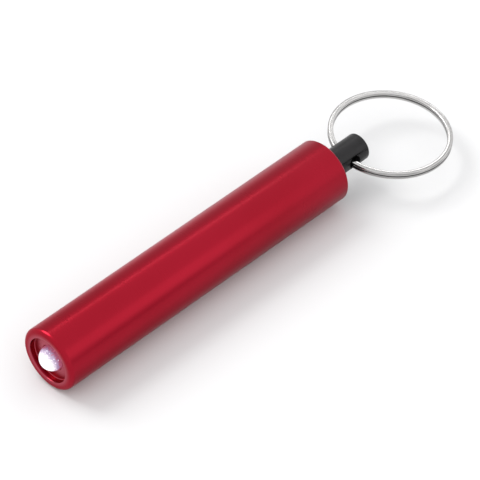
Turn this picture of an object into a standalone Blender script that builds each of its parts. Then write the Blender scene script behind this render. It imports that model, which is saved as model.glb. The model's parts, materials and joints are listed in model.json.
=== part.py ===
"""Keychain flashlight: a one-cell aluminium key light with a push post and a split ring.

Units are metres. +X runs from the lamp to the key ring and +Z is up. The barrel lies on
its side with its lowest line at z = 0, and x = 0, y = 0 is the middle of the bounding box.
Stations along the barrel are measured rearward from the plane of its front rim.
"""

import math

import bmesh
import bpy
from mathutils import Vector

for old in list(bpy.data.objects):
    bpy.data.objects.remove(old, do_unlink=True)

MM = 0.001

# Driving sizes
BARREL_LENGTH = 72.0 * MM
BARREL_RADIUS = 6.5 * MM
LED_RADIUS = 2.5 * MM
LED_LENGTH = 8.6 * MM
POST_RADIUS = 2.8 * MM
POST_REACH = 9.5 * MM
HOLE_FROM_END = 4.05 * MM
RING_RADIUS = 11.6 * MM
WIRE_WIDTH = 1.05 * MM
WIRE_HEIGHT = 0.65 * MM
PRESS_TRAVEL = 1.2 * MM

# Walls and set-backs
TUBE_WALL = 1.1 * MM
SKIRT_WALL = 0.75 * MM
RIM_WIDTH = 1.85 * MM
RIM_ROUND = 0.85 * MM
REAR_CHAMFER = 0.38 * MM
RECESS_DEPTH = 1.2 * MM
FRONT_WALL = 1.2 * MM
SKIRT_LENGTH = 12.0 * MM
HEAD_ROOM = 13.4 * MM
TAIL_ROOM = 14.1 * MM

# Clearances
SLIDING = 0.15 * MM
SEATED = 0.10 * MM
CLOSE = 0.05 * MM
TURN_GAP = 0.06 * MM
WIRE_PLAY = 0.12 * MM

# Pose of the ring at rest
RING_DROOP = math.radians(3.5)
RING_TWIST = math.radians(2.8)
RING_SIDE = -1.4 * MM
RING_JOG = math.radians(140.0)
JOG_SPAN = math.radians(30.0)

# Derived stations and radii
BORE_RADIUS = BARREL_RADIUS - TUBE_WALL
SKIRT_RADIUS = BARREL_RADIUS - SKIRT_WALL
RECESS_RADIUS = BARREL_RADIUS - RIM_WIDTH
LED_TIP = RECESS_DEPTH - LED_RADIUS + 0.05 * MM
LED_BACK = LED_TIP + LED_LENGTH
LED_HEAD = LED_TIP + LED_RADIUS
FLANGE_RADIUS = LED_RADIUS + 0.4 * MM
FLANGE_LENGTH = 1.0 * MM
HOLDER_START = RECESS_DEPTH + FRONT_WALL + CLOSE
HOLDER_END = LED_BACK + 0.65 * MM
FITTED_RADIUS = BORE_RADIUS - SEATED
BOARD_START = HOLDER_END + 2.6 * MM
BOARD_THICKNESS = 0.8 * MM
BOARD_END = BOARD_START + BOARD_THICKNESS
BOARD_RADIUS = FITTED_RADIUS - 0.2 * MM
CELL_START = HEAD_ROOM
CELL_END = BARREL_LENGTH - TAIL_ROOM
CELL_RADIUS = BORE_RADIUS - 0.2 * MM
SKIRT_START = BARREL_LENGTH - SKIRT_LENGTH
PLUG_START = CELL_END + 1.1 * MM
PLUG_END = BARREL_LENGTH - 0.4 * MM
PLUG_RADIUS = SKIRT_RADIUS - SEATED
NECK_RADIUS = BORE_RADIUS - 0.2 * MM
POCKET_RADIUS = NECK_RADIUS - 0.9 * MM
POCKET_END = PLUG_END - 3.4 * MM
LINER_RADIUS = POCKET_RADIUS - SEATED
LINER_START = PLUG_START + SEATED
DISC_START = LINER_START + 2.2 * MM
DISC_END = DISC_START + 0.5 * MM
LINER_END = DISC_END + CLOSE + 0.55 * MM
SEAT_START = LINER_END + 0.2 * MM
SEAT_END = SEAT_START + 0.5 * MM
PIN_START = DISC_END + PRESS_TRAVEL + CLOSE
COLLAR_END = POCKET_END - SLIDING
COLLAR_START = COLLAR_END - 1.2 * MM
FLANGE_END = COLLAR_START - CLOSE
FLANGE_START = FLANGE_END - 0.4 * MM
POST_END = BARREL_LENGTH + POST_REACH
HOLE_STATION = POST_END - HOLE_FROM_END
WIRE_REACH = POST_RADIUS + abs(RING_SIDE)
WIRE_SAG = RING_RADIUS - math.sqrt(RING_RADIUS**2 - WIRE_REACH**2)
RING_CENTRE = RING_RADIUS - WIRE_SAG / 2
HOLE_RADIUS = WIRE_PLAY + math.hypot(
    (WIRE_SAG + WIRE_WIDTH) / 2,
    WIRE_HEIGHT + TURN_GAP / 2 + POST_RADIUS * math.sin(RING_TWIST),
)
LEAD_OFFSET = 1.27 * MM
SEGMENTS = 40

AXIS_HEIGHT = BARREL_RADIUS
RING_TAIL = HOLE_STATION + (RING_CENTRE + RING_RADIUS + WIRE_WIDTH / 2) * math.cos(RING_DROOP)
MID_STATION = (LED_TIP + RING_TAIL) / 2
MID_SIDE = RING_SIDE


def at(station, side=0.0, rise=0.0):
    """World point for a station on the barrel, a sideways offset and a rise above the axis."""
    return Vector((station - MID_STATION, side - MID_SIDE, AXIS_HEIGHT + rise))


def material(name, colour, roughness, metallic):
    mat = bpy.data.materials.get(name) or bpy.data.materials.new(name)
    mat.use_nodes = True
    shader = mat.node_tree.nodes["Principled BSDF"]
    shader.inputs["Base Color"].default_value = (*colour, 1.0)
    shader.inputs["Roughness"].default_value = roughness
    shader.inputs["Metallic"].default_value = metallic
    return mat


RED_ANODISED = material("red_anodised", (0.38, 0.012, 0.026), 0.32, 0.85)
CLEAR_EPOXY = material("clear_epoxy", (0.93, 0.95, 1.0), 0.08, 0.0)
TINNED_STEEL = material("tinned_steel", (0.62, 0.62, 0.60), 0.3, 1.0)
PHOSPHOR = material("phosphor", (0.9, 0.75, 0.15), 0.6, 0.0)
WHITE_NYLON = material("white_nylon", (0.78, 0.77, 0.73), 0.5, 0.0)
BOARD_GREEN = material("board_green", (0.02, 0.16, 0.05), 0.45, 0.0)
FERRITE = material("ferrite", (0.06, 0.06, 0.065), 0.6, 0.0)
COPPER = material("copper", (0.72, 0.28, 0.12), 0.3, 1.0)
CHIP_BLACK = material("chip_black", (0.02, 0.02, 0.022), 0.5, 0.0)
CERAMIC = material("ceramic", (0.42, 0.3, 0.18), 0.5, 0.0)
BRASS = material("brass", (0.72, 0.50, 0.20), 0.3, 1.0)
SPRING_STEEL = material("spring_steel", (0.55, 0.56, 0.58), 0.25, 1.0)
CAN_STEEL = material("can_steel", (0.6, 0.6, 0.6), 0.3, 1.0)
CELL_MASS = material("cell_mass", (0.05, 0.05, 0.05), 0.9, 0.0)
LABEL_FILM = material("label_film", (0.06, 0.07, 0.09), 0.35, 0.0)
BLACK_PLASTIC = material("black_plastic", (0.035, 0.034, 0.036), 0.42, 0.0)
BLACK_METAL = material("black_metal", (0.03, 0.03, 0.032), 0.4, 0.7)
BLACK_RUBBER = material("black_rubber", (0.015, 0.015, 0.015), 0.7, 0.0)
NICKEL = material("nickel", (0.78, 0.77, 0.75), 0.14, 1.0)


def finish(name, bm, mat, place, parent=None, smooth_angle=35.0):
    """Makes a named object from a mesh whose vertices are relative to place."""
    bmesh.ops.recalc_face_normals(bm, faces=bm.faces)
    mesh = bpy.data.meshes.new(name)
    bm.to_mesh(mesh)
    bm.free()
    mesh.shade_smooth()
    mesh.set_sharp_from_angle(angle=math.radians(smooth_angle))
    mesh.materials.append(mat)
    obj = bpy.data.objects.new(name, mesh)
    bpy.context.scene.collection.objects.link(obj)
    obj.location = place if parent is None else place - parent.matrix_world.translation
    obj.parent = parent
    bpy.context.view_layer.update()
    return obj


def revolve(bm, profile, segments=SEGMENTS):
    """Turns a closed loop of (station, radius) points about the X axis."""
    rings = []
    for station, radius in profile:
        if radius <= 0:
            rings.append([bm.verts.new((station, 0, 0))])
            continue
        angles = [2 * math.pi * i / segments for i in range(segments)]
        rings.append([
            bm.verts.new((station, radius * math.cos(a), radius * math.sin(a))) for a in angles
        ])
    for near, far in zip(rings, rings[1:] + rings[:1]):
        if len(near) == 1 and len(far) == 1:
            continue
        for i in range(segments):
            j = (i + 1) % segments
            corners = [near[i % len(near)], near[j % len(near)], far[j % len(far)], far[i % len(far)]]
            loop = [v for k, v in enumerate(corners) if v not in corners[:k]]
            bm.faces.new(loop)


def turned(name, profile, mat, parent=None, segments=SEGMENTS, side=0.0, rise=0.0):
    """Round piece on the barrel's axis, or beside it, with its origin at its first station."""
    start = profile[0][0]
    bm = bmesh.new()
    revolve(bm, [(station - start, radius) for station, radius in profile], segments)
    return finish(name, bm, mat, at(start, side, rise), parent)


def arc(centre_x, centre_r, radius, start, end, steps):
    """Points of a fillet from one angle to another, in degrees, in the (station, radius) plane."""
    angles = [math.radians(start + (end - start) * i / steps) for i in range(steps + 1)]
    return [(centre_x + radius * math.cos(a), centre_r + radius * math.sin(a)) for a in angles]


def block(name, station, side, rise, size, mat, bevel=0.0):
    """Rectangular piece centred at a point, with an optional small edge bevel."""
    bm = bmesh.new()
    bmesh.ops.create_cube(bm, size=1.0)
    bmesh.ops.scale(bm, vec=size, verts=bm.verts)
    if bevel:
        bmesh.ops.bevel(bm, geom=bm.edges, offset=bevel, segments=1, affect="EDGES")
    return finish(name, bm, mat, at(station, side, rise))


def bar(bm, first, last):
    """Adds a rectangular bar between two opposite corners."""
    made = bmesh.ops.create_cube(bm, size=1.0)["verts"]
    size = [b - a for a, b in zip(first, last)]
    middle = Vector([(a + b) / 2 for a, b in zip(first, last)])
    bmesh.ops.scale(bm, vec=size, verts=made)
    bmesh.ops.translate(bm, vec=middle, verts=made)


def helper(name, bm, place, parent=None):
    """Hidden solid used by a Boolean."""
    obj = finish(name, bm, FERRITE, place, parent)
    obj.hide_render = True
    obj.display_type = "WIRE"
    return obj


def combine(obj, tool, operation):
    mod = obj.modifiers.new(operation.lower(), "BOOLEAN")
    mod.operation = operation
    mod.object = tool
    mod.solver = "EXACT"


def wound(name, point, section, steps, mat, place, parent=None):
    """Wire swept along point(t), t in 0..1, which gives a centre and the section's two axes."""
    bm = bmesh.new()
    loops = []
    for i in range(steps + 1):
        centre, across, along = point(i / steps)
        loops.append([bm.verts.new(centre + across * u + along * v) for u, v in section])
    count = len(section)
    for near, far in zip(loops, loops[1:]):
        for i in range(count):
            j = (i + 1) % count
            bm.faces.new((near[i], near[j], far[j], far[i]))
    bm.faces.new(loops[0])
    bm.faces.new(list(reversed(loops[-1])))
    return finish(name, bm, mat, place, parent, smooth_angle=50.0)


def round_section(radius, count=8):
    angles = [2 * math.pi * i / count for i in range(count)]
    return [(radius * math.cos(a), radius * math.sin(a)) for a in angles]


def flat_section(width, height, corner):
    """Rounded rectangle, width across and height along."""
    w, h = width / 2, height / 2
    return [
        (w, corner - h), (w, h - corner), (w - corner, h), (corner - w, h),
        (-w, h - corner), (-w, corner - h), (corner - w, -h), (w - corner, -h),
    ]


def coil_spring(name, start, end, first_radius, last_radius, turns, wire, parent=None):
    """Coil along the axis between two stations, its end turns lying nearly flat."""
    length = end - start - 2 * wire
    flat = 0.75 / turns

    def climb(t):
        if t < flat:
            return 0.0
        if t > 1 - flat:
            return 1.0
        return (t - flat) / (1 - 2 * flat)

    def point(t):
        angle = 2 * math.pi * turns * t
        rise = climb(t)
        lead = wire * 2.1 * (min(t, flat) + max(t - 1 + flat, 0.0)) / flat
        inner = length - wire * 4.2
        radius = first_radius + (last_radius - first_radius) * rise
        out = Vector((0, math.cos(angle), math.sin(angle)))
        centre = out * radius + Vector((wire + lead + inner * rise, 0, 0))
        return centre, out, Vector((1, 0, 0))

    steps = int(turns * 16)
    return wound(name, point, round_section(wire, 6), steps, SPRING_STEEL, at(start), parent)


# Barrel: recessed front, plain bore for the cell, wider bore in the tail skirt
barrel_profile = [
    *arc(RIM_ROUND, BARREL_RADIUS - RIM_ROUND, RIM_ROUND, 180, 90, 6),
    (BARREL_LENGTH - REAR_CHAMFER, BARREL_RADIUS),
    (BARREL_LENGTH, BARREL_RADIUS - REAR_CHAMFER),
    (BARREL_LENGTH, SKIRT_RADIUS),
    (SKIRT_START, SKIRT_RADIUS),
    (SKIRT_START - 0.35 * MM, BORE_RADIUS),
    (RECESS_DEPTH + FRONT_WALL, BORE_RADIUS),
    (RECESS_DEPTH + FRONT_WALL, LED_RADIUS + SEATED),
    (RECESS_DEPTH, LED_RADIUS + SEATED),
    (RECESS_DEPTH, RECESS_RADIUS),
    (0.2 * MM, RECESS_RADIUS),
    (0.0, RECESS_RADIUS + 0.2 * MM),
]
barrel = turned("barrel", barrel_profile, RED_ANODISED, segments=64)

# Lamp: 5 mm LED with its lead frame in a slot open at the back
lens_profile = [
    (LED_TIP, 0.0),
    *arc(LED_HEAD, 0.0, LED_RADIUS, 170, 90, 8),
    (LED_BACK - FLANGE_LENGTH, LED_RADIUS),
    (LED_BACK - FLANGE_LENGTH, FLANGE_RADIUS),
    (LED_BACK, FLANGE_RADIUS),
    (LED_BACK, 0.0),
]
led_lens = turned("led_lens", lens_profile, CLEAR_EPOXY, segments=32)
FRAME_START = LED_TIP + 4.0 * MM
slot = bmesh.new()
bar(
    slot,
    (FRAME_START - 0.15 * MM, -1.75 * MM, -0.95 * MM),
    (LED_BACK + 1.0 * MM, 1.75 * MM, 0.95 * MM),
)
combine(led_lens, helper("lens_slot_cutter", slot, at(0.0)), "DIFFERENCE")

LEAD_END = BOARD_END - CLOSE
LEAD_HALF = 0.25 * MM
cup_profile = [
    (FRAME_START, 0.62 * MM),
    (FRAME_START, 0.8 * MM),
    (FRAME_START + 0.9 * MM, 0.8 * MM),
    (FRAME_START + 1.3 * MM, 0.0),
    (FRAME_START + 0.45 * MM, 0.0),
    (FRAME_START + 0.45 * MM, 0.35 * MM),
]
led_cathode = turned("led_cathode", cup_profile, TINNED_STEEL, segments=24)
strap = bmesh.new()
bar(
    strap,
    (FRAME_START + 0.6 * MM, -LEAD_OFFSET - LEAD_HALF, -LEAD_HALF),
    (LEAD_END, -LEAD_OFFSET + LEAD_HALF, LEAD_HALF),
)
combine(led_cathode, helper("cathode_lead", strap, at(0.0)), "UNION")
bridge = bmesh.new()
bar(
    bridge,
    (FRAME_START + 0.61 * MM, -LEAD_OFFSET, -LEAD_HALF * 0.96),
    (FRAME_START + 0.88 * MM, -0.5 * MM, LEAD_HALF * 0.96),
)
combine(led_cathode, helper("cathode_bridge", bridge, at(0.0)), "UNION")

anode = bmesh.new()
bar(
    anode,
    (FRAME_START + 0.5 * MM, LEAD_OFFSET - LEAD_HALF, -LEAD_HALF),
    (LEAD_END, LEAD_OFFSET + LEAD_HALF, LEAD_HALF),
)
finish("led_anode", anode, TINNED_STEEL, at(0.0))
block(
    "led_chip", FRAME_START + 0.33 * MM, 0.0, 0.0, (0.2 * MM, 0.4 * MM, 0.4 * MM), PHOSPHOR
)

# Holder that centres the LED in the bore
COUNTERBORE = FLANGE_RADIUS + SEATED
holder_profile = [
    (HOLDER_START, FITTED_RADIUS - 0.3 * MM),
    (HOLDER_START + 0.3 * MM, FITTED_RADIUS),
    (HOLDER_END, FITTED_RADIUS),
    (HOLDER_END, COUNTERBORE),
    (LED_BACK - FLANGE_LENGTH - CLOSE, COUNTERBORE),
    (LED_BACK - FLANGE_LENGTH - CLOSE, LED_RADIUS + SEATED),
    (HOLDER_START, LED_RADIUS + SEATED),
]
turned("led_holder", holder_profile, WHITE_NYLON)

# Step-up driver: board, parts on its front face, earth ring around them
board_profile = [
    (BOARD_START, 0.0),
    (BOARD_START, BOARD_RADIUS),
    (BOARD_END, BOARD_RADIUS),
    (BOARD_END, 0.0),
]
driver_board = turned("driver_board", board_profile, BOARD_GREEN, segments=36)
for hand, label in ((-1, "cathode"), (1, "anode")):
    drill = bmesh.new()
    revolve(drill, [(-MM, 0.0), (-MM, 0.45 * MM), (2 * MM, 0.45 * MM), (2 * MM, 0.0)], 16)
    cutter = helper(f"{label}_drill", drill, at(BOARD_START, hand * LEAD_OFFSET))
    combine(driver_board, cutter, "DIFFERENCE")

earth_profile = [
    (HOLDER_END + SEATED, FITTED_RADIUS - 0.6 * MM),
    (HOLDER_END + SEATED, FITTED_RADIUS),
    (BOARD_START - SEATED, FITTED_RADIUS),
    (BOARD_START - SEATED, FITTED_RADIUS - 0.6 * MM),
]
turned("earth_ring", earth_profile, BRASS)

PART_FACE = BOARD_START - CLOSE
COIL_RISE = -2.95 * MM
core_profile = [
    (PART_FACE - 2.0 * MM, 0.0),
    (PART_FACE - 2.0 * MM, 1.45 * MM),
    (PART_FACE - 1.6 * MM, 1.45 * MM),
    (PART_FACE - 1.6 * MM, 0.7 * MM),
    (PART_FACE - 0.4 * MM, 0.7 * MM),
    (PART_FACE - 0.4 * MM, 1.45 * MM),
    (PART_FACE, 1.45 * MM),
    (PART_FACE, 0.0),
]
turned("coil_core", core_profile, FERRITE, segments=24, rise=COIL_RISE)
winding_profile = [
    (PART_FACE - 1.55 * MM, 0.8 * MM),
    (PART_FACE - 1.55 * MM, 1.3 * MM),
    (PART_FACE - 0.45 * MM, 1.3 * MM),
    (PART_FACE - 0.45 * MM, 0.8 * MM),
]
turned("coil_winding", winding_profile, COPPER, segments=24, rise=COIL_RISE)

BOARD_PARTS = (
    ("boost_chip", -1.4 * MM, 2.6 * MM, (1.1 * MM, 2.9 * MM, 1.6 * MM), CHIP_BLACK),
    ("output_capacitor", 1.9 * MM, 2.4 * MM, (1.2 * MM, 2.0 * MM, 1.25 * MM), CERAMIC),
    ("rectifier_diode", 3.05 * MM, -1.2 * MM, (1.0 * MM, 1.25 * MM, 1.7 * MM), CHIP_BLACK),
)
for label, side, rise, size, mat in BOARD_PARTS:
    block(label, PART_FACE - size[0] / 2, side, rise, size, mat, bevel=0.08 * MM)

# Cell: steel can around its electrodes, seal, positive cap and label
coil_spring(
    "positive_spring", BOARD_END + CLOSE, CELL_START - CLOSE, 2.9 * MM, 1.3 * MM, 2.5, 0.2 * MM
)
CAP_RADIUS = 1.9 * MM
CAP_HEIGHT = 1.0 * MM
SHOULDER = CELL_START + CAP_HEIGHT
CAN_RADIUS = CELL_RADIUS - 0.15 * MM
CAN_WALL = 0.25 * MM
can_profile = [
    (SHOULDER + 0.1 * MM, CAN_RADIUS - CAN_WALL),
    (SHOULDER + 0.1 * MM, CAN_RADIUS),
    (CELL_END - 0.4 * MM, CAN_RADIUS),
    (CELL_END - 0.15 * MM, CAN_RADIUS - 0.3 * MM),
    (CELL_END - 0.15 * MM, 3.2 * MM),
    (CELL_END, 3.0 * MM),
    (CELL_END, 0.0),
    (CELL_END - 0.6 * MM, 0.0),
    (CELL_END - 0.6 * MM, CAN_RADIUS - CAN_WALL),
]
turned("cell_can", can_profile, CAN_STEEL)
CORE_RADIUS = CAN_RADIUS - CAN_WALL - SEATED
core_profile = [
    (SHOULDER + 0.9 * MM, 0.0),
    (SHOULDER + 0.9 * MM, CORE_RADIUS),
    (CELL_END - 0.7 * MM, CORE_RADIUS),
    (CELL_END - 0.7 * MM, 0.0),
]
turned("cell_core", core_profile, CELL_MASS, segments=36)
seal_profile = [
    (SHOULDER + 0.2 * MM, CAP_RADIUS + SEATED),
    (SHOULDER + 0.2 * MM, CORE_RADIUS),
    (SHOULDER + 0.8 * MM, CORE_RADIUS),
    (SHOULDER + 0.8 * MM, CAP_RADIUS + SEATED),
]
turned("cell_seal", seal_profile, WHITE_NYLON, segments=36)
cap_profile = [
    (CELL_START, 0.0),
    (CELL_START, CAP_RADIUS - 0.25 * MM),
    (CELL_START + 0.25 * MM, CAP_RADIUS),
    (SHOULDER + 0.8 * MM, CAP_RADIUS),
    (SHOULDER + 0.8 * MM, 0.0),
]
turned("cell_cap", cap_profile, CAN_STEEL, segments=36)
label_profile = [
    (SHOULDER, CAN_RADIUS - 0.5 * MM),
    (SHOULDER, CAN_RADIUS + 0.15 * MM),
    (CELL_END - 0.5 * MM, CAN_RADIUS + 0.15 * MM),
    (CELL_END - 0.5 * MM, CAN_RADIUS + CLOSE),
    (SHOULDER + CLOSE, CAN_RADIUS + CLOSE),
    (SHOULDER + CLOSE, CAN_RADIUS - 0.5 * MM),
]
turned("cell_label", label_profile, LABEL_FILM)

# Tail plug: threaded body with an O-ring groove, a pocket for the switch and a post hole
GROOVE_FLOOR = PLUG_RADIUS - 0.85 * MM
GROOVE_START = PLUG_END - 2.4 * MM
GROOVE_END = GROOVE_START + 1.3 * MM
THREAD_START = SKIRT_START + 0.6 * MM
THREAD_PITCH = 1.0 * MM
THREAD_DEPTH = 0.3 * MM
THREAD_COUNT = 6
thread = []
for i in range(THREAD_COUNT):
    x = THREAD_START + i * THREAD_PITCH
    thread += [
        (x + 0.2 * THREAD_PITCH, PLUG_RADIUS - THREAD_DEPTH),
        (x + 0.45 * THREAD_PITCH, PLUG_RADIUS),
        (x + 0.6 * THREAD_PITCH, PLUG_RADIUS),
        (x + 0.85 * THREAD_PITCH, PLUG_RADIUS - THREAD_DEPTH),
    ]
plug_profile = [
    (PLUG_START, POCKET_RADIUS),
    (PLUG_START, NECK_RADIUS),
    (SKIRT_START - 0.1 * MM, NECK_RADIUS),
    *thread,
    (GROOVE_START - 0.5 * MM, PLUG_RADIUS),
    (GROOVE_START, PLUG_RADIUS),
    (GROOVE_START, GROOVE_FLOOR),
    (GROOVE_END, GROOVE_FLOOR),
    (GROOVE_END, PLUG_RADIUS),
    (PLUG_END - 0.2 * MM, PLUG_RADIUS),
    (PLUG_END, PLUG_RADIUS - 0.2 * MM),
    (PLUG_END, POST_RADIUS + SLIDING),
    (POCKET_END, POST_RADIUS + SLIDING),
    (POCKET_END, POCKET_RADIUS),
]
tail_plug = turned("tail_plug", plug_profile, BLACK_METAL)
SEAL_WIRE = (SKIRT_RADIUS - GROOVE_FLOOR - CLOSE * 1.6) / 2
seal_ring = arc(
    (GROOVE_START + GROOVE_END) / 2, GROOVE_FLOOR + CLOSE * 0.8 + SEAL_WIRE, SEAL_WIRE, 0, 300, 5
)
turned("tail_o_ring", seal_ring, BLACK_RUBBER, tail_plug, segments=36)

# Switch pack in the plug's pocket
coil_spring(
    "battery_spring", CELL_END + CLOSE, DISC_START - CLOSE, 2.0 * MM, LINER_RADIUS - 0.9 * MM,
    3.0, 0.25 * MM, tail_plug,
)
disc_profile = [
    (DISC_START, 0.0),
    (DISC_START, LINER_RADIUS - 0.45 * MM),
    (DISC_END, LINER_RADIUS - 0.45 * MM),
    (DISC_END, 0.0),
]
turned("contact_disc", disc_profile, BRASS, tail_plug, segments=36)
PIN_RADIUS = 1.1 * MM
liner_profile = [
    (LINER_START, LINER_RADIUS - 0.35 * MM),
    (LINER_START, LINER_RADIUS),
    (LINER_END, LINER_RADIUS),
    (LINER_END, PIN_RADIUS + 0.5 * MM),
    (DISC_END + CLOSE, PIN_RADIUS + 0.5 * MM),
    (DISC_END + CLOSE, LINER_RADIUS - 0.35 * MM),
]
turned("switch_liner", liner_profile, WHITE_NYLON, tail_plug, segments=36)
seat_profile = [
    (SEAT_START, PIN_RADIUS + 0.4 * MM),
    (SEAT_START, LINER_RADIUS),
    (SEAT_END, LINER_RADIUS),
    (SEAT_END, PIN_RADIUS + 0.4 * MM),
]
turned("spring_seat", seat_profile, BRASS, tail_plug, segments=36)
coil_spring(
    "return_spring", SEAT_END + CLOSE, FLANGE_START - CLOSE, 2.5 * MM, 2.5 * MM, 3.5, 0.18 * MM,
    tail_plug,
)

# Push post with a stop collar, a cross hole for the ring and a contact pin in its nose
COLLAR_RADIUS = POCKET_RADIUS - 0.5 * MM
STEM_RADIUS = 1.0 * MM
STEM_END = COLLAR_START + 2.6 * MM
post_profile = [
    (COLLAR_START, STEM_RADIUS + CLOSE),
    (COLLAR_START, COLLAR_RADIUS),
    (COLLAR_END, COLLAR_RADIUS),
    (COLLAR_END, POST_RADIUS),
    *arc(POST_END - 0.4 * MM, POST_RADIUS - 0.4 * MM, 0.4 * MM, 90, 0, 3),
    (POST_END, 0.0),
    (STEM_END + SEATED, 0.0),
    (STEM_END + SEATED, STEM_RADIUS + CLOSE),
]
push_post = turned("push_post", post_profile, BLACK_PLASTIC, tail_plug)
cross = bmesh.new()
revolve(
    cross,
    [
        (-POST_RADIUS * 1.5, 0.0),
        (-POST_RADIUS * 1.5, HOLE_RADIUS),
        (POST_RADIUS * 1.5, HOLE_RADIUS),
        (POST_RADIUS * 1.5, 0.0),
    ],
    24,
)
hole_cutter = helper("post_hole_cutter", cross, at(HOLE_STATION), push_post)
hole_cutter.rotation_euler = (0.0, 0.0, math.pi / 2)
combine(push_post, hole_cutter, "DIFFERENCE")

pin_profile = [
    (PIN_START, 0.0),
    (PIN_START, PIN_RADIUS - 0.25 * MM),
    (PIN_START + 0.25 * MM, PIN_RADIUS),
    (FLANGE_START, PIN_RADIUS),
    (FLANGE_START, COLLAR_RADIUS - 0.4 * MM),
    (FLANGE_END, COLLAR_RADIUS - 0.4 * MM),
    (FLANGE_END, STEM_RADIUS),
    (STEM_END, STEM_RADIUS),
    (STEM_END, 0.0),
]
turned("contact_pin", pin_profile, BRASS, push_post, segments=32)

# Split ring: flat wire in two stacked turns with one step between them
LAYER_RISE = (WIRE_HEIGHT + TURN_GAP) / 2
WIRE_TURN = 4 * math.pi - JOG_SPAN


def ring_point(t):
    """Centre and section axes of the ring's wire, relative to the middle of the post's hole."""
    travelled = WIRE_TURN * t
    angle = RING_JOG + JOG_SPAN / 2 + travelled
    step = (travelled - 2 * math.pi + JOG_SPAN) / JOG_SPAN
    step = min(max(step, 0.0), 1.0)
    rise = LAYER_RISE * (2 * step * step * (3 - 2 * step) - 1)
    out = Vector((math.cos(angle), math.sin(angle), 0))
    centre = Vector((RING_CENTRE, RING_SIDE, rise)) + out * RING_RADIUS
    return centre, out, Vector((0, 0, 1))


split_ring = wound(
    "split_ring", ring_point, flat_section(WIRE_WIDTH, WIRE_HEIGHT, 0.16 * MM), 130, NICKEL,
    at(HOLE_STATION), push_post,
)
split_ring.rotation_euler = (RING_TWIST, RING_DROOP, 0.0)
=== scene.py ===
import math

import bmesh
import bpy
from mathutils import Euler, Matrix, Vector
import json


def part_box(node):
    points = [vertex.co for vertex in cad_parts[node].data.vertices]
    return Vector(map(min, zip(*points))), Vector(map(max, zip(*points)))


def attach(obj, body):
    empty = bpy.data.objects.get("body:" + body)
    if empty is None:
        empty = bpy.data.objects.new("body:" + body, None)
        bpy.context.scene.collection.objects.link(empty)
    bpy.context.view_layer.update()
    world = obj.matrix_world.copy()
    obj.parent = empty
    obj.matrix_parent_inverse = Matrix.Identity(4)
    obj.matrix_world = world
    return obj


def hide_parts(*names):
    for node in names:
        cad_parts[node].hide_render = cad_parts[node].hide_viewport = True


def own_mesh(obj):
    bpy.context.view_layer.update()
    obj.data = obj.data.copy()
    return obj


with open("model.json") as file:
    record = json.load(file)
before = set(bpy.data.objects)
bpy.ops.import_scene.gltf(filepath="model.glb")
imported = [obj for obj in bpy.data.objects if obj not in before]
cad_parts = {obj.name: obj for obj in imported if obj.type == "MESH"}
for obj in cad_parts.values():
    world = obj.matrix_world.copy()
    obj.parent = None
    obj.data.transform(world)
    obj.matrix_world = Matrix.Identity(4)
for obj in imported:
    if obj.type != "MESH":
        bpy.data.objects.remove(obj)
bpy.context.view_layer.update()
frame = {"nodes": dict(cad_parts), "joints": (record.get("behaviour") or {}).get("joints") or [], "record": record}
MM = 0.001

# Places on the flashlight, read from the frame
barrel_low, barrel_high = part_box("barrel")
FRONT = barrel_low.x
REAR = barrel_high.x
BARREL_RADIUS = (barrel_high.z - barrel_low.z) / 2
AXIS_Y = (barrel_low.y + barrel_high.y) / 2
AXIS_Z = (barrel_low.z + barrel_high.z) / 2
LED_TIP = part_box("led_lens")[0].x
LED_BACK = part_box("led_lens")[1].x
POST_NOSE, POST_TIP = (corner.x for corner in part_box("push_post"))
ring_joint = next(j for j in frame["joints"] if j["name"] == "ring_swing")
RING_PIVOT = Vector(ring_joint["pos_m"])

# Sizes shared by the finished pieces
LED_RADIUS = 2.5 * MM
POST_RADIUS = 2.8 * MM
HOLE_RADIUS = 1.35 * MM
RECESS_RADIUS = BARREL_RADIUS - 1.85 * MM
RECESS_DEPTH = 1.2 * MM
FRONT_WALL = 1.2 * MM
LED_CLEARANCE = 0.10 * MM
FLANGE_LENGTH = 1.0 * MM
FLANGE_REACH = 0.4 * MM
RIM_ROUND = 0.85 * MM
REAR_CHAMFER = 0.36 * MM
BROKEN_EDGE = 0.08 * MM
SOFT_EDGE = 0.06 * MM
CLOSED_POLE = 0.02 * MM
BORE_RADIUS = BARREL_RADIUS - 1.1 * MM
SKIRT_RADIUS = BARREL_RADIUS - 0.75 * MM
SKIRT_LENGTH = 12.0 * MM
RING_RADIUS = 11.6 * MM
WIRE_WIDTH = 1.05 * MM
WIRE_HEIGHT = 0.65 * MM
WIRE_CORNER = 0.2 * MM
TURN_GAP = 0.06 * MM
RING_DROOP = math.radians(3.5)
RING_TWIST = math.radians(2.8)
RING_SIDE = -1.4 * MM
RING_JOG = math.radians(140.0)
JOG_SPAN = math.radians(30.0)
RING_SAG = RING_RADIUS - math.sqrt(RING_RADIUS ** 2 - (POST_RADIUS + abs(RING_SIDE)) ** 2)
RING_MIDDLE = Vector((RING_RADIUS - RING_SAG / 2, RING_SIDE, 0))

# Tolerances for welding and for shading inner parts smooth, in metres and degrees
WELD = 0.0002 * MM
RING_WELD = 0.001 * MM
INNER_SMOOTH = 32.0


# Modelling steps

def alone(obj=None):
    """Leaves nothing selected but one object."""
    bpy.ops.object.select_all(action="DESELECT")
    if obj is not None:
        obj.select_set(True)
        bpy.context.view_layer.objects.active = obj


def choose_edges(obj, test):
    """In edit mode, selects only the edges that pass a test."""
    bpy.ops.mesh.select_mode(type="EDGE")
    bpy.ops.mesh.select_all(action="DESELECT")
    mesh = bmesh.from_edit_mesh(obj.data)
    for edge in mesh.edges:
        if test(edge):
            edge.select_set(True)
    mesh.select_flush_mode()
    bmesh.update_edit_mesh(obj.data)


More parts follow.
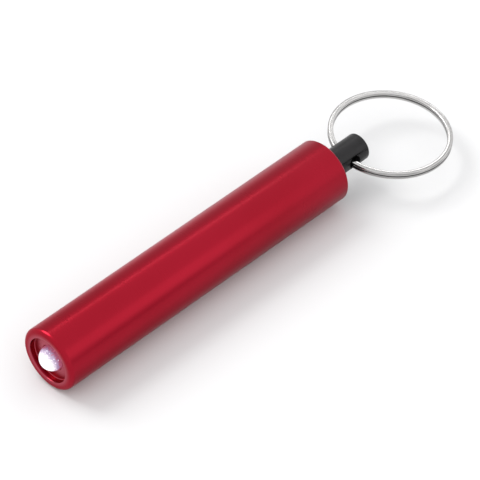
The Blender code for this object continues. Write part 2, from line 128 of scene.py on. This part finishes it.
def arc(centre_x, centre_r, radius, start, end, steps):
    """Points of a fillet, in the plane of station and radius, between two angles in degrees."""
    turn = [math.radians(start + (end - start) * i / steps) for i in range(steps + 1)]
    return [(centre_x + radius * math.cos(a), centre_r + radius * math.sin(a)) for a in turn]


def turned(name, profile, sides, smooth, looped=True):
    """A lathe piece on the barrel's axis: a circle drawn out and scaled from point to point."""
    (x, r), *rest = profile
    alone()
    bpy.ops.mesh.primitive_circle_add(
        vertices=sides, radius=r, location=(x, AXIS_Y, AXIS_Z), rotation=(0, math.pi / 2, 0)
    )
    obj = bpy.context.object
    obj.name = name
    bpy.ops.object.transform_apply(location=True, rotation=True, scale=True)
    bpy.ops.object.mode_set(mode="EDIT")
    bpy.ops.mesh.select_all(action="SELECT")
    if not looped:
        bpy.ops.mesh.edge_face_add()
    for next_x, next_r in rest:
        bpy.ops.mesh.extrude_region_move(
            TRANSFORM_OT_translate={"value": (next_x - x, 0, 0)}
        )
        bpy.ops.transform.resize(
            value=(1, next_r / r, next_r / r), center_override=(next_x, AXIS_Y, AXIS_Z)
        )
        x, r = next_x, next_r
    if looped:
        choose_edges(obj, lambda edge: edge.is_boundary)
        bpy.ops.mesh.bridge_edge_loops()
    bpy.ops.mesh.select_all(action="SELECT")
    bpy.ops.mesh.normals_make_consistent(inside=False)
    bpy.ops.object.mode_set(mode="OBJECT")
    bpy.ops.object.shade_smooth_by_angle(angle=math.radians(smooth))
    return obj


def cross_drill(name, x, radius, length):
    """Cylinder across the barrel's axis, used to drill the post."""
    alone()
    bpy.ops.mesh.primitive_cylinder_add(
        vertices=48, radius=radius, depth=length, location=(x, AXIS_Y, AXIS_Z),
        rotation=(math.pi / 2, 0, 0),
    )
    bpy.context.object.name = name
    return bpy.context.object


def smoothed(node):
    """A welded copy of an inner part with its round faces shaded smooth."""
    source = frame["nodes"][node]
    obj = bpy.data.objects.new(node + "_fine", source.data.copy())
    bpy.context.scene.collection.objects.link(obj)
    alone(obj)
    bpy.ops.object.mode_set(mode="EDIT")
    bpy.ops.mesh.select_all(action="SELECT")
    bpy.ops.mesh.remove_doubles(threshold=WELD)
    bpy.ops.object.mode_set(mode="OBJECT")
    bpy.ops.object.shade_smooth_by_angle(angle=math.radians(INNER_SMOOTH))
    return obj


# Materials

class Value:
    """A number or vector that varies from place to place, whose maths reads as plain maths."""

    def __init__(self, nodes, socket):
        self.nodes = nodes
        self.socket = socket

    def maths(self, operation, first, second=0.0):
        return self.nodes.node("ShaderNodeMath", {"operation": operation}, {0: first, 1: second})

    def __add__(self, other):
        return self.maths("ADD", self, other)

    def __sub__(self, other):
        return self.maths("SUBTRACT", self, other)

    def __mul__(self, other):
        return self.maths("MULTIPLY", self, other)

    def __abs__(self):
        return self.maths("ABSOLUTE", self)

    def __radd__(self, other):
        return self.maths("ADD", other, self)

    def __rsub__(self, other):
        return self.maths("SUBTRACT", other, self)

    def __rmul__(self, other):
        return self.maths("MULTIPLY", other, self)

    def __pow__(self, other):
        return self.maths("POWER", self, other)


class Nodes:
    """A node tree, with short ways to add nodes and join them."""

    def __init__(self, tree):
        self.tree = tree

    def join(self, value, socket):
        if isinstance(value, Value):
            self.tree.links.new(value.socket, socket)
        else:
            socket.default_value = value

    def node(self, kind, settings=None, inputs=None, output=0):
        made = self.tree.nodes.new(kind)
        for key, value in (settings or {}).items():
            setattr(made, key, value)
        for key, value in (inputs or {}).items():
            self.join(value, made.inputs[key])
        return Value(self, made.outputs[output])

    def vector(self, operation, first, second, output=0):
        return self.node(
            "ShaderNodeVectorMath", {"operation": operation}, {0: first, 1: second}, output
        )

    def parts(self, vector):
        made = self.tree.nodes.new("ShaderNodeSeparateXYZ")
        self.join(vector, made.inputs[0])
        return [Value(self, out) for out in made.outputs]

    def noise(self, vector, scale, detail=3.0, roughness=0.55):
        return self.node(
            "ShaderNodeTexNoise", {},
            {"Vector": vector, "Scale": scale, "Detail": detail, "Roughness": roughness},
        )

    def spread(self, value, low, high, to_low, to_high):
        """Maps a value from one range to another, held at both ends."""
        return self.node(
            "ShaderNodeMapRange", {"clamp": True},
            {"Value": value, 1: low, 2: high, 3: to_low, 4: to_high},
        )

    def blend(self, amount, first, second):
        """Colour that goes from first to second."""
        made = self.tree.nodes.new("ShaderNodeMix")
        made.data_type = "RGBA"
        self.join(amount, made.inputs[0])
        for value, socket in ((first, made.inputs[6]), (second, made.inputs[7])):
            self.join(value if isinstance(value, Value) else (*value, 1.0), socket)
        return Value(self, made.outputs[2])


class Finish(Nodes):
    """One surface finish: a Principled shader and the nodes that vary it."""

    def __init__(self, name, colour, roughness, metallic=0.0, **shader):
        self.material = bpy.data.materials.new(name)
        self.material.use_nodes = True
        super().__init__(self.material.node_tree)
        self.shader = self.tree.nodes["Principled BSDF"]
        self.set("Base Color", (*colour, 1.0))
        self.set("Roughness", roughness)
        self.set("Metallic", metallic)
        for socket, value in shader.items():
            self.set(socket.replace("_", " ").title().replace("Ior", "IOR"), value)

    def set(self, socket, value):
        self.join(value, self.shader.inputs[socket])

    def place(self, centre=(0, 0, 0), stretch=(1, 1, 1)):
        """Object coordinates, centred on a point and stretched along each axis."""
        raw = self.node("ShaderNodeTexCoord", output="Object")
        return self.vector("MULTIPLY", self.vector("SUBTRACT", raw, tuple(centre)), stretch)

    def bump(self, height, strength, distance):
        made = self.node(
            "ShaderNodeBump", {}, {"Strength": strength, "Distance": distance, "Height": height}
        )
        self.set("Normal", made)


def from_axis(finish, points):
    """Distance of a point from the barrel's axis, in metres."""
    _, y, z = finish.parts(points)
    return (y * y + z * z) ** 0.5


def anodised_red():
    """Dyed, sealed aluminium: satin, with faint rings from the lathe, paler in a mottled band at the rear edge, a
    painted highlight on the front rim face and painted lamp light on the recess floor.
    """
    red = Finish(
        "anodised_red", (0.308, 0.0054, 0.0175), 0.29, 1.0, specular_tint=(0.92, 0.62, 0.66, 1.0),
        coat_weight=0.12, coat_roughness=0.18,
    )
    front_middle = (FRONT, AXIS_Y, AXIS_Z)
    points = red.place(front_middle)
    rings = red.noise(red.place(front_middle, (9.0, 0.12, 0.12)), 900.0, 4.0)
    mottle = red.noise(points, 260.0, 4.0)
    cloud = red.noise(points, 45.0, 2.0)
    x = red.parts(points)[0]
    out = from_axis(red, points)
    dye = red.blend(
        red.spread(cloud, 0.35, 0.65, 0.0, 1.0), (0.296, 0.0048, 0.0158), (0.321, 0.0058, 0.0192)
    )
    length = REAR - FRONT
    rear_edge = red.spread(x, length - 0.50 * MM, length - 0.25 * MM, 0.0, 1.0)
    # Painted highlight: the front rim face and its inner edge are painted paler, fading outward from the recess.
    rim_face_highlight = (
        red.spread(x, 0.04 * MM, 0.22 * MM, 1.0, 0.0)
        * red.spread(out, RECESS_RADIUS + 0.25 * MM, RECESS_RADIUS + 0.9 * MM, 1.0, 0.0)
    )
    # Painted light from the lamp: the recess floor is painted pale pink, strongest next to the lamp and fading
    # towards the recess wall.
    lamp_light_pool = (
        red.spread(x, RECESS_DEPTH - 0.15 * MM, RECESS_DEPTH - 0.05 * MM, 0.0, 1.0)
        * red.spread(x, RECESS_DEPTH + 0.10 * MM, RECESS_DEPTH + 0.20 * MM, 1.0, 0.0)
        * red.spread(out, LED_RADIUS + 0.3 * MM, RECESS_RADIUS, 1.0, 0.55)
        * red.spread(out, RECESS_RADIUS + 0.05 * MM, RECESS_RADIUS + 0.15 * MM, 1.0, 0.0)
    )
    # Paler in a mottled band along the rear edge, plus the painted highlight on the front rim face.
    mottled_edge_and_highlight = rear_edge * red.spread(mottle, 0.3, 0.6, 0.35, 0.8) + rim_face_highlight * 0.62
    # The pale pink serves the mottled rear edge, the painted rim highlight and the painted lamp light on the
    # recess floor.
    red.set("Base Color", red.blend(mottled_edge_and_highlight + lamp_light_pool * 0.88, dye, (0.417, 0.092, 0.125)))
    rough = red.spread(rings, 0.3, 0.7, 0.275, 0.305) + red.spread(mottle, 0.35, 0.65, -0.01, 0.01)
    red.set("Roughness", rough)
    red.bump(rings * 0.7 + mottle * 0.3, 0.06, 0.002 * MM)
    return red.material


def clear_epoxy():
    """The lit lamp: white round its tip, then speckled lavender, then a painted red reflection of the recess round
    it.
    """
    clear = Finish(
        "clear_epoxy", (0.133, 0.10, 0.142), 0.05, 0.0, ior=1.53, transmission_weight=0.3,
        emission_strength=1.0,
    )
    points = clear.place((LED_TIP, AXIS_Y, AXIS_Z - 0.2 * MM))
    off = clear.vector("LENGTH", points, (0, 0, 0), output="Value")
    speckle = clear.noise(points, 2600.0, 3.0, 0.7)
    dots = clear.node("ShaderNodeTexVoronoi", {}, {"Vector": points, "Scale": 1300.0})
    ragged = off + (speckle - 0.5) * (2.2 * MM)
    tone = clear.spread(speckle, 0.38, 0.62, 0.0, 1.0)
    haze = clear.blend(tone, (0.22, 0.15, 0.28), (0.50, 0.45, 0.62))
    haze = clear.blend(clear.spread(dots, 0.12, 0.25, 1.0, 0.0), haze, (0.90, 0.82, 0.95))
    # Painted reflection: the red recess seen in the lamp's sides, given as red emission.
    rim = clear.blend(tone, (0.22, 0.03, 0.06), (0.36, 0.08, 0.13))
    glow = clear.blend(clear.spread(ragged, 2.9 * MM, 3.25 * MM, 0.0, 1.0), haze, rim)
    core = clear.spread(ragged, 2.15 * MM, 2.6 * MM, 1.0, 0.0)
    clear.set("Emission Color", clear.blend(core, glow, (1.0, 0.98, 1.0)))
    return clear.material


def moulded_black():
    """Black nylon with a fine spark-eroded texture."""
    black = Finish("moulded_black", (0.008, 0.0075, 0.008), 0.3, 0.0, specular_ior_level=0.27)
    points = black.place((POST_TIP, AXIS_Y, AXIS_Z))
    grain = black.noise(points, 5200.0, 2.0)
    wear = black.noise(points, 420.0, 3.0)
    worn = black.spread(wear, 0.35, 0.7, 0.0, 1.0)
    black.set("Base Color", black.blend(worn, (0.006, 0.0055, 0.006), (0.012, 0.011, 0.012)))
    black.set("Roughness", black.spread(wear, 0.3, 0.7, 0.26, 0.38))
    black.bump(grain, 0.3, 0.004 * MM)
    return black.material


def bright_nickel():
    """Bright plate over drawn wire: lines run along the wire, painted dark and light partly as reflection lines,
    and the gap between the turns is painted dark as shade.
    """
    nickel = Finish("bright_nickel", (0.52, 0.51, 0.50), 0.14, 1.0)
    plane = Euler((RING_TWIST, RING_DROOP, 0)).to_matrix()
    points = nickel.place(RING_PIVOT + plane @ RING_MIDDLE)
    height = nickel.vector("DOT_PRODUCT", points, plane @ Vector((0, 0, 1)), output="Value")
    reach = nickel.vector("LENGTH", points, (0, 0, 0), output="Value")
    drift = nickel.noise(points, 130.0, 2.0)
    across = nickel.node("ShaderNodeCombineXYZ", {}, {0: reach, 1: height, 2: drift * (0.4 * MM)})
    drawn = nickel.noise(across, 5200.0, 2.0, 0.6)
    scuffs = nickel.noise(points, 1400.0, 4.0, 0.65)
    # Painted shade: the gap between the two turns is painted near black.
    painted_crevice_shade = nickel.spread(abs(height), 0.08 * MM, 0.20 * MM, 0.92, 0.0)
    # Stripes along the wire: partly drawn-wire marks, partly painted reflection lines, dark and light.
    drawn_and_reflection_lines = nickel.blend(
        nickel.spread(drawn, 0.36, 0.6, 0.0, 1.0), (0.17, 0.17, 0.168), (0.60, 0.59, 0.58)
    )
    nickel.set("Base Color", nickel.blend(painted_crevice_shade, drawn_and_reflection_lines, (0.04, 0.04, 0.04)))
    nickel.set("Roughness", nickel.spread(scuffs, 0.35, 0.7, 0.10, 0.22))
    nickel.bump(drawn, 0.12, 0.004 * MM)
    return nickel.material


def plain_part(name, colour, dark, roughness, metallic):
    """A machined or moulded inner part: its colour drifts a little and its grain is fine."""
    part = Finish(name, colour, roughness, metallic)
    points = part.place((FRONT, AXIS_Y, AXIS_Z))
    drift = part.noise(points, 225.0, 3.0)
    grain = part.noise(points, 1800.0, 2.0)
    part.set("Base Color", part.blend(part.spread(drift, 0.35, 0.65, 0.0, 1.0), dark, colour))
    part.set("Roughness", part.spread(grain, 0.3, 0.7, roughness - 0.05, roughness + 0.07))
    part.bump(grain, 0.2, 0.005 * MM)
    return part.material


def wear_material(obj, material):
    obj.data.materials.clear()
    obj.data.materials.append(material)


RED = anodised_red()
EPOXY = clear_epoxy()
BLACK = moulded_black()
NICKEL = bright_nickel()

# Inner finishes: name, colour, darker colour, roughness and metallic
INNER_LOOKS = (
    ("tinned_steel", (0.66, 0.66, 0.64), (0.52, 0.52, 0.5), 0.28, 1.0),
    ("phosphor", (0.93, 0.82, 0.28), (0.85, 0.7, 0.2), 0.6, 0.0),
    ("white_nylon", (0.78, 0.76, 0.71), (0.70, 0.68, 0.62), 0.5, 0.0),
    ("board_green", (0.012, 0.15, 0.05), (0.01, 0.1, 0.035), 0.35, 0.0),
    ("ferrite", (0.07, 0.068, 0.07), (0.045, 0.044, 0.046), 0.62, 0.0),
    ("copper", (0.74, 0.30, 0.13), (0.58, 0.21, 0.09), 0.28, 1.0),
    ("chip_black", (0.026, 0.026, 0.028), (0.018, 0.018, 0.02), 0.5, 0.0),
    ("ceramic", (0.46, 0.33, 0.2), (0.36, 0.25, 0.15), 0.5, 0.0),
    ("brass", (0.74, 0.52, 0.22), (0.62, 0.41, 0.16), 0.28, 1.0),
    ("spring_steel", (0.6, 0.61, 0.63), (0.46, 0.47, 0.49), 0.22, 1.0),
    ("can_steel", (0.66, 0.66, 0.66), (0.56, 0.56, 0.56), 0.3, 1.0),
    ("cell_mass", (0.05, 0.048, 0.046), (0.03, 0.03, 0.03), 0.9, 0.0),
    ("label_film", (0.05, 0.065, 0.09), (0.04, 0.05, 0.07), 0.3, 0.0),
    ("black_metal", (0.035, 0.034, 0.037), (0.024, 0.024, 0.026), 0.36, 0.6),
    ("black_rubber", (0.018, 0.018, 0.018), (0.012, 0.012, 0.012), 0.6, 0.0),
)
INNER = {name: plain_part(name, *look) for name, *look in INNER_LOOKS}

# Barrel: rounded front rim, lamp recess, bored through, thin skirt round the tail plug
WALL_BACK = FRONT + RECESS_DEPTH + FRONT_WALL
barrel = turned("barrel_fine", [
    (FRONT, RECESS_RADIUS + 0.22 * MM),
    *arc(FRONT + RIM_ROUND, BARREL_RADIUS - RIM_ROUND, RIM_ROUND, 180, 90, 12),
    (REAR - REAR_CHAMFER - SOFT_EDGE, BARREL_RADIUS),
    (REAR - REAR_CHAMFER, BARREL_RADIUS - SOFT_EDGE / 2),
    (REAR - SOFT_EDGE, BARREL_RADIUS - REAR_CHAMFER + SOFT_EDGE / 2),
    (REAR, BARREL_RADIUS - REAR_CHAMFER - 0.04 * MM),
    (REAR, SKIRT_RADIUS + BROKEN_EDGE),
    (REAR - BROKEN_EDGE, SKIRT_RADIUS),
    (REAR - SKIRT_LENGTH, SKIRT_RADIUS),
    (REAR - SKIRT_LENGTH - 0.35 * MM, BORE_RADIUS),
    (WALL_BACK, BORE_RADIUS),
    (WALL_BACK, LED_RADIUS + LED_CLEARANCE),
    (FRONT + RECESS_DEPTH + BROKEN_EDGE, LED_RADIUS + LED_CLEARANCE),
    (FRONT + RECESS_DEPTH, LED_RADIUS + LED_CLEARANCE + BROKEN_EDGE),
    (FRONT + RECESS_DEPTH, RECESS_RADIUS - 0.10 * MM),
    (FRONT + RECESS_DEPTH - 0.10 * MM, RECESS_RADIUS),
    (FRONT + 0.20 * MM, RECESS_RADIUS),
    (FRONT + SOFT_EDGE, RECESS_RADIUS + SOFT_EDGE),
], sides=192, smooth=28.0)
wear_material(barrel, RED)
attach(barrel, "light")
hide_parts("barrel")

# Lamp: dome, straight body and flange
FLANGE_START = LED_BACK - FLANGE_LENGTH
FLANGE_RADIUS = LED_RADIUS + FLANGE_REACH
lens = turned("led_lens_fine", [
    *arc(LED_TIP + LED_RADIUS, 0.0, LED_RADIUS, 178, 90, 30),
    (FLANGE_START - 0.05 * MM, LED_RADIUS),
    (FLANGE_START, LED_RADIUS + 0.05 * MM),
    (FLANGE_START, FLANGE_RADIUS - 0.04 * MM),
    (FLANGE_START + 0.05 * MM, FLANGE_RADIUS),
    (LED_BACK, FLANGE_RADIUS),
    (LED_BACK, CLOSED_POLE),
], sides=96, smooth=40.0, looped=False)
alone(lens)
bpy.ops.object.mode_set(mode="EDIT")
choose_edges(lens, lambda edge: edge.is_boundary)
bpy.ops.mesh.edge_face_add()
bpy.ops.mesh.select_all(action="SELECT")
bpy.ops.mesh.normals_make_consistent(inside=False)
bpy.ops.object.mode_set(mode="OBJECT")
wear_material(lens, EPOXY)
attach(lens, "light")
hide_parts("led_lens")

# Push post: stop collar, straight stem with a softened end, and a drilled cross hole
COLLAR = (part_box("push_post")[1].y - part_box("push_post")[0].y) / 2
COLLAR_LENGTH = 1.2 * MM
END_ROUND = 0.4 * MM
NOSE_BORE = 1.05 * MM
BORE_DEPTH = 3.0 * MM
POST_SMOOTH = 34.0
HOLE_BEVEL = 0.12 * MM
post = turned("push_post_fine", [
    (POST_NOSE, NOSE_BORE),
    (POST_NOSE, COLLAR - BROKEN_EDGE),
    (POST_NOSE + BROKEN_EDGE, COLLAR),
    (POST_NOSE + COLLAR_LENGTH - BROKEN_EDGE, COLLAR),
    (POST_NOSE + COLLAR_LENGTH, COLLAR - BROKEN_EDGE),
    (POST_NOSE + COLLAR_LENGTH, POST_RADIUS),
    *arc(POST_TIP - END_ROUND, POST_RADIUS - END_ROUND, END_ROUND, 90, 4, 8),
    (POST_TIP, CLOSED_POLE),
    (POST_NOSE + BORE_DEPTH, CLOSED_POLE),
    (POST_NOSE + BORE_DEPTH - 0.3 * MM, NOSE_BORE),
], sides=96, smooth=POST_SMOOTH)
drill = cross_drill("post_drill", RING_PIVOT.x, HOLE_RADIUS, POST_RADIUS * 3)
hole = post.modifiers.new("hole", "BOOLEAN")
hole.object = drill
hole.operation = "DIFFERENCE"
hole.solver = "EXACT"
alone(post)
bpy.ops.object.modifier_apply(modifier="hole")
bpy.data.objects.remove(drill)


def on_hole_edge(edge):
    """True for the edges where the cross hole meets the outside of the post."""
    near = 0.03 * MM

    def rim(point):
        out = math.hypot(point.y - AXIS_Y, point.z - AXIS_Z)
        off = math.hypot(point.x - RING_PIVOT.x, point.z - AXIS_Z)
        return abs(out - POST_RADIUS) < near and abs(off - HOLE_RADIUS) < near
    return all(rim(v.co) for v in edge.verts)


bpy.ops.object.mode_set(mode="EDIT")
choose_edges(post, on_hole_edge)
bpy.ops.mesh.bevel(offset=HOLE_BEVEL, segments=3, profile=0.5, affect="EDGES")
bpy.ops.object.mode_set(mode="OBJECT")
bpy.ops.object.shade_smooth_by_angle(angle=math.radians(POST_SMOOTH))
wear_material(post, BLACK)
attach(post, "button")
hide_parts("push_post")

# Split ring: a flat wire wound twice, with one step from the lower turn to the upper
LAYER_RISE = (WIRE_HEIGHT + TURN_GAP) / 2
TURN_STEPS = 130
JOG_STEPS = 12
WIRE_START = RING_JOG + JOG_SPAN / 2

alone()
bpy.ops.mesh.primitive_plane_add(size=1.0)
ring = bpy.context.object
ring.name = "split_ring_fine"
ring.scale = (WIRE_WIDTH, WIRE_HEIGHT, 1)
bpy.ops.object.transform_apply(scale=True)
ring.rotation_euler = (math.pi / 2, 0, WIRE_START)
start_way = Vector((math.cos(WIRE_START), math.sin(WIRE_START), 0))
ring.location = RING_MIDDLE + start_way * RING_RADIUS
ring.location.z = -LAYER_RISE
bpy.ops.object.transform_apply(location=True, rotation=True)
bpy.ops.object.mode_set(mode="EDIT")
bpy.ops.mesh.select_all(action="SELECT")
bpy.ops.mesh.bevel(offset=WIRE_CORNER, segments=4, profile=0.5, affect="VERTICES")
bpy.ops.mesh.select_all(action="SELECT")


def sweep(angle, steps):
    """Spins the wire's open end round the ring."""
    bpy.ops.mesh.spin(
        steps=steps, angle=angle, dupli=False, center=RING_MIDDLE, axis=(0, 0, 1)
    )


def climb(angle, steps):
    """Spins the wire's open end on while it rises smoothly from the lower turn to the upper."""
    for i in range(steps):
        before, after = (2 * LAYER_RISE * f * f * (3 - 2 * f) for f in (i / steps, (i + 1) / steps))
        sweep(angle / steps, 1)
        bpy.ops.transform.translate(value=(0, 0, after - before))


sweep(2 * math.pi - JOG_SPAN, TURN_STEPS)
climb(JOG_SPAN, JOG_STEPS)
sweep(2 * math.pi - JOG_SPAN, TURN_STEPS)
bpy.ops.mesh.select_all(action="SELECT")
bpy.ops.mesh.remove_doubles(threshold=RING_WELD)
bpy.ops.mesh.normals_make_consistent(inside=False)
bpy.ops.object.mode_set(mode="OBJECT")
ring.rotation_euler = (RING_TWIST, RING_DROOP, 0)
ring.location = RING_PIVOT
bpy.ops.object.transform_apply(location=True, rotation=True)
bpy.ops.object.shade_smooth_by_angle(angle=math.radians(50.0))
wear_material(ring, NICKEL)
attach(ring, "ring")
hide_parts("split_ring")

# Inner parts keep their shape, welded and shaded smooth
REMODELLED = ("barrel", "led_lens", "push_post", "split_ring")
bodies = frame["record"]["behaviour"]["bodies"]
for part in frame["record"]["subparts"]:
    node, look = part["node"], part["material_slot"]
    if node in REMODELLED:
        continue
    piece = smoothed(node)
    wear_material(piece, INNER[look])
    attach(piece, next(body for body, held in bodies.items() if node in held))
    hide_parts(node)
    if node == "return_spring":
        seat_end, post_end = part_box(node)
        travel = next(j for j in frame["joints"] if j["name"] == "button_press")["range_m"][1]
        1 - travel / (post_end.x - seat_end.x)
        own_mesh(piece)

# Pale table
alone()
bpy.ops.mesh.primitive_plane_add(size=6.0, location=(0, 0, -0.02 * MM))
table = bpy.context.object
table.name = "table"
paper = Finish("table_white", (0.683, 0.683, 0.683), 0.6, 0.0, specular_ior_level=0.2)
wear_material(table, paper.material)


# Camera and light

def towards(azimuth, elevation):
    """Direction towards a viewer: azimuth 0 is from -Y and azimuth 90 from +X."""
    a, e = math.radians(azimuth), math.radians(elevation)
    return Vector((math.sin(a) * math.cos(e), -math.cos(a) * math.cos(e), math.sin(e)))


VIEW_AZIMUTH = -44.87
VIEW_ELEVATION = 44.05
VIEW_DISTANCE = 712.72 * MM
VIEW_RIGHT = 9.267 * MM
VIEW_UP = 4.160 * MM
FOCAL_LENGTH = 287.81
SENSOR_WIDTH = 36.0
LAMP_DISTANCE = 1.2
BARREL_MIDDLE = Vector((FRONT + 36.12 * MM, AXIS_Y, AXIS_Z))
back = towards(VIEW_AZIMUTH, VIEW_ELEVATION)
right = towards(VIEW_AZIMUTH + 90, 0)
up = back.cross(right)
bpy.ops.object.camera_add(
    location=BARREL_MIDDLE + back * VIEW_DISTANCE + right * VIEW_RIGHT + up * VIEW_UP
)
camera = bpy.context.object
camera.name = "camera"
camera.rotation_mode = "QUATERNION"
camera.rotation_quaternion = (-back).to_track_quat("-Z", "Y")
camera.data.sensor_width = SENSOR_WIDTH
camera.data.lens = FOCAL_LENGTH
camera.data.clip_start = 0.01
camera.data.clip_end = 20.0
bpy.context.scene.camera = camera


def softbox(name, direction, length, width, power):
    """A soft rectangular lamp facing the barrel, its length running as the barrel does."""
    light = bpy.data.lights.new(name, "AREA")
    light.shape = "RECTANGLE"
    light.size, light.size_y = length, width
    light.energy = power
    obj = bpy.data.objects.new(name, light)
    bpy.context.scene.collection.objects.link(obj)
    aim = Vector(direction).normalized()
    along = (Vector((1, 0, 0)) - aim * aim.x).normalized()
    obj.rotation_mode = "QUATERNION"
    obj.rotation_quaternion = Matrix((along, aim.cross(along), aim)).transposed().to_quaternion()
    obj.location = BARREL_MIDDLE + aim * LAMP_DISTANCE


softbox("front_right", (0.50, -0.70, 0.47), 0.8, 0.55, 0.47)
softbox("streak", (0.51, 0.53, 0.68), 0.9, 0.06, 0.54)
softbox("back_top", (-0.2, 0.9, 1.0), 0.6, 0.6, 7.2)


def studio_walls():
    """Pale studio all round, a little darker low down behind the tail and off to the right."""
    world = bpy.data.worlds.new("studio")
    bpy.context.scene.world = world
    world.use_nodes = True
    sky = Nodes(world.node_tree)
    way = sky.node("ShaderNodeTexCoord", output="Generated")
    colour = (1.0, 1.0, 1.01)
    for aim, near, far, shade in (
        ((0.51, 0.82, 0.26), 0.97, 0.78, 0.68),
        ((0.51, -0.86, -0.12), 0.985, 0.93, 0.45),
    ):
        facing = sky.vector("DOT_PRODUCT", way, Vector(aim).normalized(), output="Value")
        colour = sky.blend(sky.spread(facing, far, near, 0.0, 1.0), colour, (shade,) * 3)
    background = world.node_tree.nodes["Background"]
    sky.join(colour, background.inputs["Color"])
    background.inputs["Strength"].default_value = 1.2


studio_walls()
bpy.context.scene.view_settings.view_transform = "Standard"
